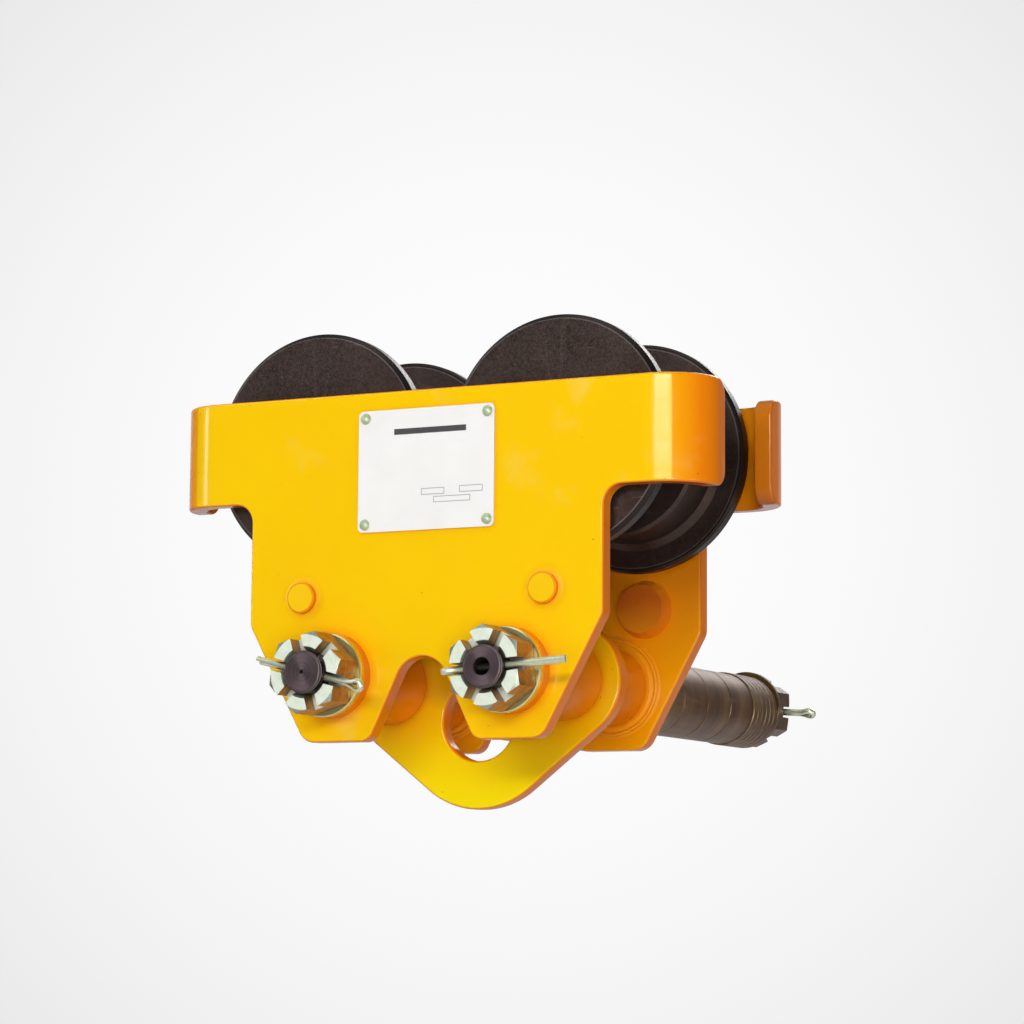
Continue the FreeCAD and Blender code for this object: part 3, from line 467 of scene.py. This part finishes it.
def wheel_metal(name):
    """Dark turned wheel with fine speckle, streaks running outwards, a few scratches, painted
    shade on the tread and a painted highlight round the face's rim.
    """
    graph = Material(name)
    radius, angle = graph.from_axis(WHEEL_MIDDLE)
    rings = graph.noise_line(radius, 1100.0, 3.0)
    speckle = graph.band(graph.noise(900.0, 2.0, 0.7), 0.35, 0.75)
    streaks = graph.noise_line(angle, 9.0, 5.0)
    cloud = graph.noise(40.0, 4.0, 0.6)
    tint = graph.ramp(cloud, *MOST_NOISE, (0.036, 0.022, 0.017), (0.068, 0.046, 0.040))
    tint = graph.cover(tint, (0.11, 0.080, 0.074), speckle, 0.35)
    tint = graph.ramp(streaks, 0.60, 0.78, tint, (0.13, 0.10, 0.09), 0.22)
    scratch = graph.noise(30.0, 5.0, 0.8, stretch=(1.0, 8.0, 14.0))
    tint = graph.ramp(scratch, 0.64, 0.67, tint, (0.20, 0.17, 0.155), 0.35)
    # Painted shade: the tread beyond the face is near black
    tread_shade = graph.band(radius, WHEEL_FACE_RADIUS - EDGE_BLUR, WHEEL_FACE_RADIUS + EDGE_BLUR)
    tint = graph.cover(tint, (0.018, 0.014, 0.013), tread_shade, 0.8)
    # Painted highlight: a thin pale line round the face's rim
    from_edge = graph.magnitude(graph.minus(radius, WHEEL_FACE_RADIUS))
    rim_highlight = graph.band(from_edge, EDGE_BLUR / 2, EDGE_BLUR * 2, 0.35, 0.0)
    tint = graph.blend(rim_highlight, tint, (0.36, 0.33, 0.30))
    rough = graph.between(speckle, 0.34, 0.52)
    graph.bump(rings, 0.00004)
    graph.bump(speckle, 0.00003)
    return graph.surface(tint, 0.75, rough)


def shaft_metal(name):
    """Dark, oiled shaft with turned ends that shine in fans, and threads at the nuts."""
    graph = Material(name)
    radius, _ = graph.from_axis(SHAFT_MIDDLE)
    along = graph.along()
    flat = graph.band(graph.facing_along(), 0.6, 0.9)
    rings = graph.noise_line(radius, 1300.0, 3.0)
    end = graph.ramp(rings, *MOST_NOISE, (0.11, 0.075, 0.085), (0.20, 0.15, 0.165))
    side = graph.blend(graph.noise(90.0, 4.0), (0.05, 0.038, 0.035), (0.12, 0.10, 0.09))
    tint = graph.blend(flat, side, end)
    # Painted shade: dark in corners and in the shaft's hole
    tint = graph.shade_in_corners(tint, RECESS_SHADE, 0.008, 0.95)
    rough = graph.band(rings, *MOST_NOISE, 0.40, 0.30)
    graph.bump(graph.times(rings, flat), 0.00003)
    thread = graph.math("SINE", graph.times(along, 2 * math.pi / THREAD_PITCH))
    threaded = graph.math("GREATER_THAN", graph.magnitude(along), PLATE_OUT + THREAD_BEYOND_PLATE)
    graph.bump(graph.times(thread, threaded), THREAD_DEPTH)
    round_shaft = graph.node("ShaderNodeTangent", direction_type="RADIAL", axis="Y").outputs[0]
    return graph.surface(tint, 0.85, rough, Anisotropic=0.7, Tangent=round_shaft)


def oil_over_rear(graph, tint, cloud):
    """The fastenings behind the rear plate carry a brown film of oil."""
    behind = graph.math("GREATER_THAN", graph.along(), 0.0)
    oil = graph.ramp(cloud, 0.35, 0.7, (0.070, 0.034, 0.010), (0.13, 0.072, 0.022))
    return behind, graph.blend(behind, tint, oil)


def plated_nut(name):
    """Zinc-plated nut with matt ends, and flats with a painted yellow-brown reflection of the
    shaded yellow plate. The rear one is oily and brown.
    """
    graph = Material(name)
    radius, _ = graph.from_axis(SHAFT_MIDDLE)
    facing = graph.facing_along()
    flat = graph.band(facing, 0.35, 0.75)
    end = graph.band(facing, 0.93, 0.98)
    cloud = graph.noise(260.0, 4.0, 0.65)
    end_tint = graph.ramp(cloud, 0.40, 0.7, (0.84, 0.94, 0.82), (0.73, 0.85, 0.72))
    cone_tint = graph.ramp(cloud, 0.35, 0.7, (0.42, 0.48, 0.40), (0.28, 0.32, 0.26))
    # Painted reflection and shade: the flats take the yellow-brown of the plate beside them
    flat_reflection_tint = graph.ramp(cloud, 0.35, 0.7, (0.50, 0.26, 0.07), (0.30, 0.13, 0.030))
    tint = graph.blend(flat, flat_reflection_tint, graph.blend(end, cone_tint, end_tint))
    behind, tint = oil_over_rear(graph, tint, cloud)
    # Painted shade in corners
    tint = graph.shade_in_corners(tint, RECESS_SHADE, 0.004, 0.85)
    metallic = graph.between(graph.math("MAXIMUM", end, behind), 0.8, 0.2)
    rough = graph.band(graph.noise(500.0, 3.0), *MOST_NOISE, 0.32, 0.46)
    graph.bump(graph.noise_line(radius, 1500.0, 2.0), 0.00002)
    graph.bump(graph.noise(700.0), 0.00003)
    return graph.surface(tint, metallic, rough)


def nut_washer_metal(name):
    """Yellow-green plated washer with turned rings. The rear one is oily and brown."""
    graph = Material(name)
    radius, _ = graph.from_axis(SHAFT_MIDDLE)
    cloud = graph.noise(120.0, 4.0, 0.6)
    rings = graph.noise_line(radius, TURNED_RINGS, 3.0)
    mixed = graph.times(graph.plus(cloud, rings), 0.5)
    tint = graph.ramp(mixed, 0.35, 0.65, (0.62, 0.66, 0.30), (0.84, 0.87, 0.56))
    behind, tint = oil_over_rear(graph, tint, cloud)
    # Painted shade in corners
    tint = graph.shade_in_corners(tint, RECESS_SHADE, 0.004, 0.7)
    rough = graph.band(mixed, *MOST_NOISE, 0.38, 0.24)
    graph.bump(rings, 0.00003)
    return graph.surface(tint, graph.between(behind, 1.0, 0.3), rough)


def spare_ring_metal(name, rings_per_metre):
    """Oily brown rings, streaked and blotched, with painted highlights on their edges here and
    there.
    """
    graph = Material(name)
    lines = graph.noise_line(graph.along(), rings_per_metre, 4.0)
    streaks = graph.noise(60.0, 5.0, 0.7, stretch=(1.0, 0.12, 1.0))
    blotch = graph.noise(38.0, 4.0, 0.6)
    green = graph.noise(25.0, 3.0)
    tint = graph.ramp(lines, *MOST_NOISE, (0.10, 0.043, 0.014), (0.19, 0.100, 0.040))
    tint = graph.ramp(blotch, 0.40, 0.62, tint, (0.060, 0.024, 0.009), 0.65)
    tint = graph.ramp(streaks, 0.52, 0.68, tint, (0.27, 0.19, 0.11), 0.6)
    tint = graph.ramp(green, 0.50, 0.64, tint, (0.19, 0.14, 0.035), 0.6)
    # Painted shade in corners
    tint = graph.shade_in_corners(tint, RECESS_SHADE, 0.003, 0.8)
    # Painted highlight: pale patches on the rings' chamfered edges
    facing = graph.facing_along()
    edge = graph.times(graph.band(facing, 0.2, 0.5), graph.band(facing, 0.8, 0.95, 1.0, 0.0))
    edge_highlight = graph.times(edge, graph.band(graph.noise(55.0, 3.0), 0.45, 0.62, 0.05, 0.6))
    tint = graph.blend(edge_highlight, tint, (0.36, 0.32, 0.24))
    rough = graph.band(streaks, 0.35, 0.7, 0.28, 0.46)
    graph.bump(lines, 0.00006)
    return graph.surface(tint, 0.30, rough, Specular_IOR_Level=0.2)


def plain_metal(name, light, dark, roughness, metallic=1.0, grain=300.0, shade_reach=0.002,
                shaded_within=0.0):
    """Plated or blackened metal with a fine cloudy grain, with painted shade in corners and,
    where asked, near a shaft's axis.
    """
    graph = Material(name)
    cloud = graph.noise(grain, 4.0, 0.6)
    tint = graph.ramp(cloud, *MOST_NOISE, light, dark)
    # Painted shade in corners
    tint = graph.shade_in_corners(tint, RECESS_SHADE, shade_reach, 0.85)
    # Painted shade: dark inside a shaft's hole, near its axis
    if shaded_within:
        radius, _ = graph.from_axis(SHAFT_MIDDLE)
        inside = graph.band(radius, shaded_within - 0.001, shaded_within, 0.93, 0.0)
        tint = graph.blend(inside, tint, RECESS_SHADE)
    rough = graph.band(cloud, *MOST_NOISE, roughness - 0.05, roughness + 0.08)
    graph.bump(graph.noise(grain * 3), 0.00002)
    return graph.surface(tint, metallic, rough)


def axle_metal(name):
    """Turned steel whose peened head carries the side plate's paint."""
    graph = Material(name)
    radius, _ = graph.from_axis(WHEEL_MIDDLE)
    paint_starts = PLATE_OUT - AXLE_PAINT_DEPTH
    painted = graph.band(graph.magnitude(graph.along()), paint_starts, paint_starts + EDGE_BLUR)
    rings = graph.noise_line(radius, TURNED_RINGS, 3.0)
    steel = graph.blend(rings, (0.42, 0.40, 0.37), (0.56, 0.54, 0.50))
    coat, rough = paint_coat(graph, PAINT_YELLOW, PAINT_SHADE, PAINT_ROUGHNESS)
    tint = graph.blend(painted, steel, coat)
    metallic = graph.minus(1.0, painted)
    return graph.surface(tint, metallic, rough, Specular_IOR_Level=PAINT_GLOSS)


def make_materials():
    """The material of each of the record's slots, by the slot's name."""
    small_part = {"colour": PAINT_SHADE, "shade": PAINT_YELLOW, "roughness": 0.30}
    # The studs take a stronger painted shade towards the wheels
    stud = {**small_part, "roughness": 0.28, "wheel_shade_amount": 1.3}
    recipes = {
        "side_plate_paint": (paint, {"colour": PAINT_YELLOW, "shade": PAINT_SHADE}),
        "bush_paint": (paint, small_part),
        "stud_paint": (paint, stud),
        "spacer_paint": (paint, small_part),
        "hanger_paint": (hanger_enamel, {}),
        "nameplate_enamel": (nameplate_lacquer, {}),
        "rivet_steel": (plain_metal, {
            "light": (0.55, 0.66, 0.45), "dark": (0.42, 0.52, 0.34),
            "roughness": 0.45, "metallic": 0.45,
        }),
        "shaft_steel": (shaft_metal, {}),
        "nut_zinc": (plated_nut, {}),
        "washer_zinc": (nut_washer_metal, {}),
        "pin_zinc": (plain_metal, {
            "light": (0.84, 0.90, 0.72), "dark": (0.60, 0.68, 0.48),
            "roughness": 0.32, "metallic": 0.75, "grain": 200.0,
            "shade_reach": 0.006, "shaded_within": 0.009,
        }),
        "spare_spacer_steel": (spare_ring_metal, {"rings_per_metre": 90.0}),
        "spare_washer_steel": (spare_ring_metal, {"rings_per_metre": 240.0}),
        "wheel_steel": (wheel_metal, {}),
        "axle_steel": (axle_metal, {}),
        "bearing_steel": (bearing_metal, {
            "light": (0.66, 0.66, 0.66), "dark": (0.52, 0.52, 0.53), "roughness": 0.18,
        }),
        "ball_steel": (plain_metal, {
            "light": (0.80, 0.80, 0.82), "dark": (0.74, 0.74, 0.76), "roughness": 0.10,
        }),
        "cage_brass": (bearing_metal, {
            "light": (0.76, 0.58, 0.28), "dark": (0.60, 0.43, 0.18), "roughness": 0.28,
        }),
        "shield_steel": (bearing_metal, {
            "light": (0.56, 0.56, 0.57), "dark": (0.44, 0.44, 0.45), "roughness": 0.26,
        }),
        "circlip_steel": (plain_metal, {
            "light": (0.11, 0.10, 0.10), "dark": (0.06, 0.055, 0.05), "roughness": 0.35,
        }),
    }
    return {slot: make(slot, **settings) for slot, (make, settings) in recipes.items()}


def dress_nodes(materials):
    """Give every node the material of its slot."""
    slots = {part["node"]: part["material_slot"] for part in frame["record"]["subparts"]}
    for name, node in frame["nodes"].items():
        node.data.materials.clear()
        node.data.materials.append(materials[slots[name]])


def make_camera():
    """Camera low in front of the part and towards +X, with a slight roll."""
    level = Vector((math.cos(CAMERA_TURN), math.sin(CAMERA_TURN), 0))
    upright = level.cross(CAMERA_AHEAD)
    right = level * math.cos(CAMERA_ROLL) + upright * math.sin(CAMERA_ROLL)
    up = upright * math.cos(CAMERA_ROLL) - level * math.sin(CAMERA_ROLL)
    axes = Matrix((right, up, -CAMERA_AHEAD)).transposed()
    data = bpy.data.cameras.new("camera")
    data.lens = CAMERA_LENS
    data.sensor_width = SENSOR_WIDTH
    data.clip_start = CAMERA_NEAR
    data.clip_end = CAMERA_FAR
    camera = bpy.data.objects.new("camera", data)
    camera.matrix_world = Matrix.Translation(CAMERA_PLACE) @ axes.to_4x4()
    scene.collection.objects.link(camera)
    scene.camera = camera


def lamp(name, azimuth, elevation, distance, width, height, radiance, colour=WHITE,
         spread=180):
    """Soft rectangular lamp aimed at the part. Azimuth 0 is the front, and 90 is towards +X.

    A narrow spread keeps its light off the floor, at the same brightness on the part.
    """
    data = bpy.data.lights.new(name, "AREA")
    data.shape = "RECTANGLE"
    data.size = width
    data.size_y = height
    data.color = colour
    data.energy = radiance * math.pi * width * height
    if spread < 180:
        half = math.radians(spread / 2)
        data.spread = 2 * half
        data.energy *= 1 - half / math.tan(half)
    made = bpy.data.objects.new(name, data)
    way = way_to(math.radians(azimuth), math.radians(elevation))
    made.location = way * distance
    made.rotation_mode = "QUATERNION"
    made.rotation_quaternion = way.to_track_quat("Z", "Y")
    scene.collection.objects.link(made)


def make_lamps():
    """Lamps by azimuth and elevation in degrees, distance, width, height and radiance."""
    lamp("low_softbox", 27, -12, 2.4, 1.1, 0.9, 13.3, spread=80)
    lamp("strip_light", 13.0, 12.5, 2.4, 1.45, 0.25, 20.0)
    lamp("key_softbox", -50, 38, 2.5, 1.1, 1.0, 2.6)
    lamp("left_strip", -56, 9, 2.4, 0.30, 0.8, 9.0)
    lamp("top_softbox", 0, 85, 2.2, 1.4, 1.4, 1.4)
    lamp("warm_side", 80, -12, 1.6, 0.5, 0.4, 6.5, colour=WARM_LIGHT)
    lamp("back_softbox", 172, 38, 2.6, 1.4, 1.2, 6.0)


def make_world():
    """Dim light on the part, and the pale backdrop where it is looked at or mirrored.

    A mirrored room is bright beyond the part and dim to the sides and behind the camera.
    """
    world = bpy.data.worlds.new("studio")
    world.use_nodes = True
    scene.world = world
    nodes = world.node_tree.nodes
    graph = Graph(world.node_tree)
    way = graph.node("ShaderNodeTexCoord").outputs["Generated"]
    ahead = graph.vector_math("DOT_PRODUCT", way, CAMERA_AHEAD)["Value"]
    spot = graph.band(ahead, BACKDROP_RIM, BACKDROP_MIDDLE)
    colour = graph.blend(spot, BACKDROP_EDGE, BACKDROP_BRIGHT)
    room = graph.band(ahead, ROOM_DIM_UNTIL, ROOM_BRIGHT_FROM, ROOM_DIMMING, 1.0)
    glossy = graph.node("ShaderNodeLightPath").outputs["Is Glossy Ray"]
    mirrored = graph.blend(glossy, WHITE, room)
    backdrop = graph.node("ShaderNodeBackground")
    graph.put(backdrop.inputs["Color"], graph.blend(1.0, colour, mirrored, "MULTIPLY"))
    ambient = nodes["Background"]
    graph.put(ambient.inputs["Color"], AMBIENT)
    light = graph.mix_shaders(graph.seen_directly(), ambient.outputs[0], backdrop.outputs[0])
    graph.put(nodes["World Output"].inputs[0], light)


def make_floor():
    """Pale round floor that keeps the shadow and fades into the backdrop at its rim."""
    mesh = bpy.data.meshes.new("floor")
    shape = bmesh.new()
    bmesh.ops.create_circle(shape, cap_ends=True, segments=FLOOR_SIDES, radius=FLOOR_RADIUS)
    shape.to_mesh(mesh)
    shape.free()
    floor = bpy.data.objects.new("floor", mesh)
    floor.location = (0, 0, FLOOR_Z)
    scene.collection.objects.link(floor)
    graph = Material("floor_paper")
    paper = graph.ramp(graph.noise(40.0, 4.0), *MOST_NOISE, FLOOR_LIGHT, FLOOR_DARK)
    graph.surface(paper, 0.0, 0.9, Specular_IOR_Level=0.1)
    bounce = graph.node("ShaderNodeBsdfDiffuse")
    graph.put(bounce.inputs["Color"], FLOOR_BOUNCE)
    clear = graph.node("ShaderNodeBsdfTransparent")
    from_middle = graph.vector_math("LENGTH", graph.place)["Value"]
    fade = graph.band(from_middle, FLOOR_FADE_START, FLOOR_FADE_END)
    lit = graph.mix_shaders(graph.seen_directly(), bounce.outputs[0], graph.shader.outputs[0])
    faded = graph.mix_shaders(fade, lit, clear.outputs[0])
    graph.put(graph.tree.nodes["Material Output"].inputs[0], faded)
    mesh.materials.append(graph.material)


def link_piece(name, shape, material, body, smooth=True):
    """Turn a bmesh into a piece that rides on a body."""
    mesh = bpy.data.meshes.new(name)
    bmesh.ops.recalc_face_normals(shape, faces=shape.faces)
    shape.to_mesh(mesh)
    shape.free()
    for face in mesh.polygons:
        face.use_smooth = smooth
    piece = bpy.data.objects.new(name, mesh)
    scene.collection.objects.link(piece)
    mesh.materials.append(material)
    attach(piece, body)


def join_loops(shape, loop, following):
    """Faces between two loops of points of equal length."""
    for corner in range(len(loop)):
        after = (corner + 1) % len(loop)
        shape.faces.new((loop[corner], loop[after], following[after], following[corner]))


def ring_of_sections(shape, sections):
    """Closed tube through closed sections of equal length."""
    loops = [[shape.verts.new(point) for point in section] for section in sections]
    for index, loop in enumerate(loops):
        join_loops(shape, loop, loops[(index + 1) % len(loops)])


def weld_bead(shape, centre_x, side):
    """Rippled bead run round a bush's weld, on the inside of a side plate."""
    low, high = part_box(SIDE_NAMES[side] + "_shaft_bushes")
    weld_end_y = low.y if side > 0 else high.y
    middle_y = (weld_end_y + side * PLATE_IN) / 2
    weld_radius = (high.z - low.z) / 2
    along = Vector((0, 1, 0))
    seed = Vector((0, 0, centre_x * WELD_SEED_SCALE + side))
    sections = []
    for step in range(WELD_STEPS):
        angle = 2 * math.pi * step / WELD_STEPS
        way = Vector((math.cos(angle), 0, math.sin(angle)))
        ripple = 0.5 + 0.5 * math.cos(angle * WELD_RIPPLES)
        wander = noise.noise(Vector((way.x, way.z, 0)) * WELD_WANDER_SCALE + seed)
        rippled = 1 - WELD_RIPPLE_SHARE + WELD_RIPPLE_SHARE * ripple
        size = WELD_BEAD_RADIUS * (rippled + WELD_UNEVEN_SHARE * wander)
        radius = weld_radius - WELD_INSET + WELD_WANDER * wander
        middle = Vector((centre_x, middle_y, SHAFT_MIDDLE.z)) + way * radius
        section = []
        for corner in range(WELD_SECTION_POINTS):
            turn = 2 * math.pi * corner / WELD_SECTION_POINTS
            section.append(middle + (way * math.cos(turn) + along * math.sin(turn)) * size)
        sections.append(section)
    ring_of_sections(shape, sections)


def make_weld_beads(materials):
    """A piece for each side plate, with the beads of both its bushes."""
    for side, side_name in SIDE_NAMES.items():
        shape = bmesh.new()
        for centre_x in (-SHAFT_MIDDLE.x, SHAFT_MIDDLE.x):
            weld_bead(shape, centre_x, side)
        link_piece(side_name + "_weld_beads", shape, materials["bush_paint"], "frame")


def rectangle(left, bottom, right, top, y):
    """Corners of an upright rectangle square to Y."""
    return [(left, y, bottom), (right, y, bottom), (right, y, top), (left, y, top)]


def raised_outline(shape, left, bottom, right, top, y):
    """Thin raised outline of a rectangle, facing -Y."""
    outer = (left, bottom, right, top)
    inner = (left + PRINT_LINE, bottom + PRINT_LINE, right - PRINT_LINE, top - PRINT_LINE)
    raised = y - PRINT_RISE
    rows = ((outer, y), (outer, raised), (inner, raised), (inner, y))
    ring_of_sections(shape, [rectangle(*edges, depth) for edges, depth in rows])


def raised_band(shape, left, bottom, right, top, y):
    """Thin raised rectangle, facing -Y."""
    edges = (left, bottom, right, top)
    back = [shape.verts.new(corner) for corner in rectangle(*edges, y)]
    front = [shape.verts.new(corner) for corner in rectangle(*edges, y - PRINT_RISE)]
    shape.faces.new(front)
    shape.faces.new(back[::-1])
    join_loops(shape, back, front)


def nameplate_ink(low, height):
    """Grey print on the lower part of the nameplate and near black above it."""
    graph = Material("nameplate_print")
    dark = graph.blend(graph.noise(600.0), (0.035, 0.033, 0.035), (0.07, 0.067, 0.07))
    dark_from = low.z + PRINT_DARK_ABOVE * height
    upper = graph.math("GREATER_THAN", graph.height(), dark_from)
    ink = graph.blend(upper, PRINT_GREY, dark)
    graph.bump(graph.noise(900.0), 0.00001)
    return graph.surface(ink, 0.0, 0.5)


def make_nameplate_fields():
    """Empty boxes and a plain dark band of a generic rating plate, with no words in them."""
    low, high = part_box("nameplate")
    width, height = high.x - low.x, high.z - low.z
    shape = bmesh.new()

    def edges(left, bottom, right, top):
        return (
            low.x + left * width, low.z + bottom * height,
            low.x + right * width, low.z + top * height,
        )

    for box in PRINT_BOXES:
        raised_outline(shape, *edges(*box), low.y)
    raised_band(shape, *edges(*PRINT_BAND), low.y)
    ink = nameplate_ink(low, height)
    link_piece("nameplate_fields", shape, ink, "frame", smooth=False)


materials = make_materials()
dress_nodes(materials)
make_weld_beads(materials)
make_nameplate_fields()
make_camera()
make_lamps()
make_world()
make_floor()
scene.view_settings.view_transform = "Standard"
